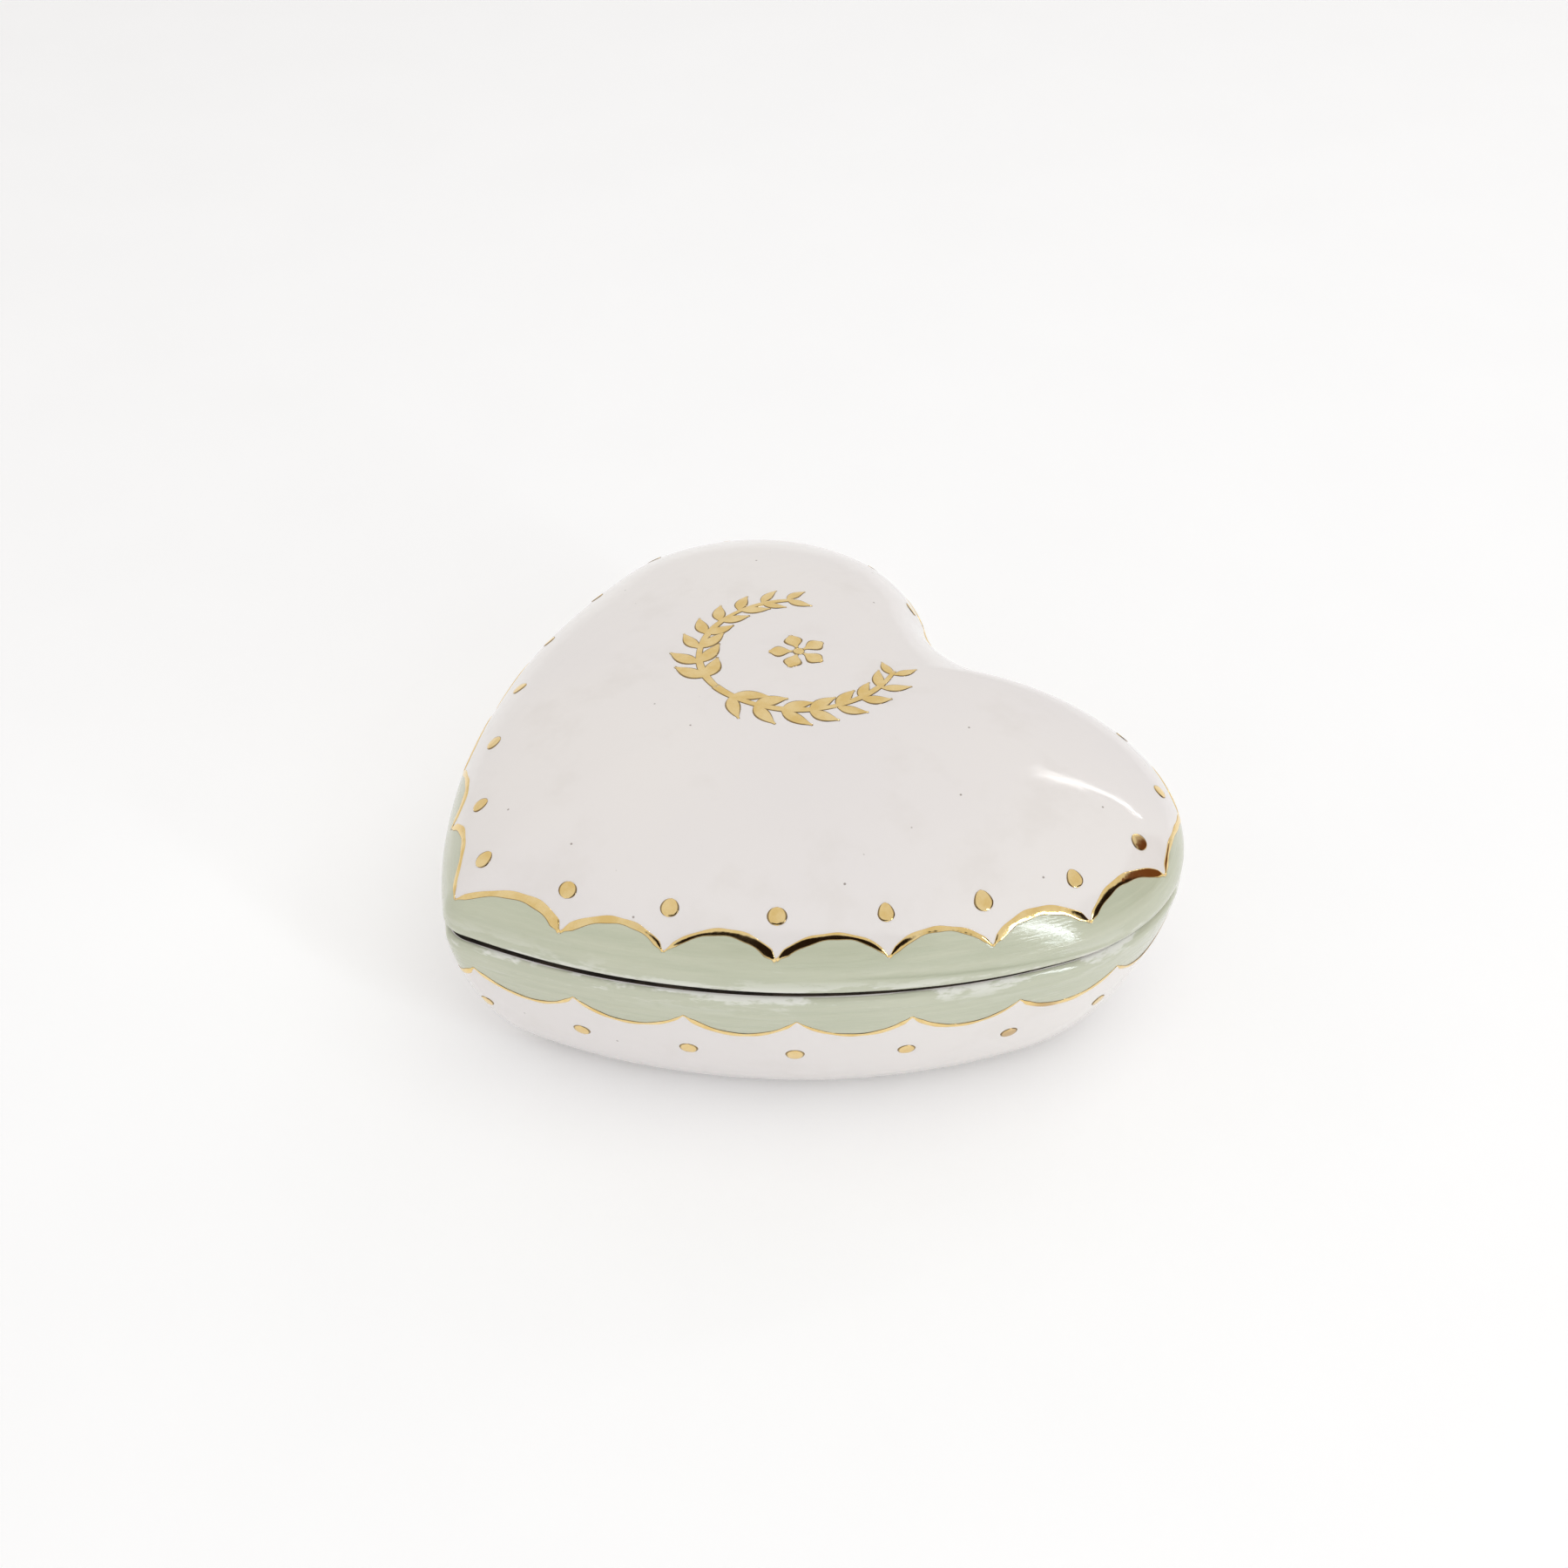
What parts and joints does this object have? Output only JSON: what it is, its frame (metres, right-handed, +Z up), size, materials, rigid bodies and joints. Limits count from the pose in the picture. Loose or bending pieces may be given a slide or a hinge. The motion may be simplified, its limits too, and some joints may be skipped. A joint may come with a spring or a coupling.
{
  "type": "porcelain trinket box",
  "caption": "Heart-shaped glazed porcelain trinket box with a puffed lift-off lid, green scalloped bands, gold lines and dots, and a gold leaf sprig on top.",
  "frame": {"origin": "centre of the footprint, on the surface that the foot ring stands on", "axes": "+X across the two lobes, +Y from the heart's tip towards its cleft, +Z up"},
  "size_m": [0.1104, 0.0984, 0.0437],
  "materials": {
    "porcelain": "white glossy glaze",
    "green_glaze": "sage green glossy glaze, brushed on",
    "gold_lustre": "bright gold lustre, brushed on"
  },
  "bodies": {
    "base": {"base_bowl": "porcelain", "base_green_glaze_band": "green_glaze", "base_gold_scallops": "gold_lustre", "base_gold_dots": "gold_lustre"},
    "lid": {"lid_shell": "porcelain", "lid_green_glaze_band": "green_glaze", "lid_gold_scallops": "gold_lustre", "lid_gold_dots": "gold_lustre", "lid_gold_emblem": "gold_lustre"}
  },
  "joints": [
    {"name": "lid_lift", "type": "slide", "parent": "base", "child": "lid", "axis": [0, 0, 1], "range_m": [0, 0.06]}
  ]
}
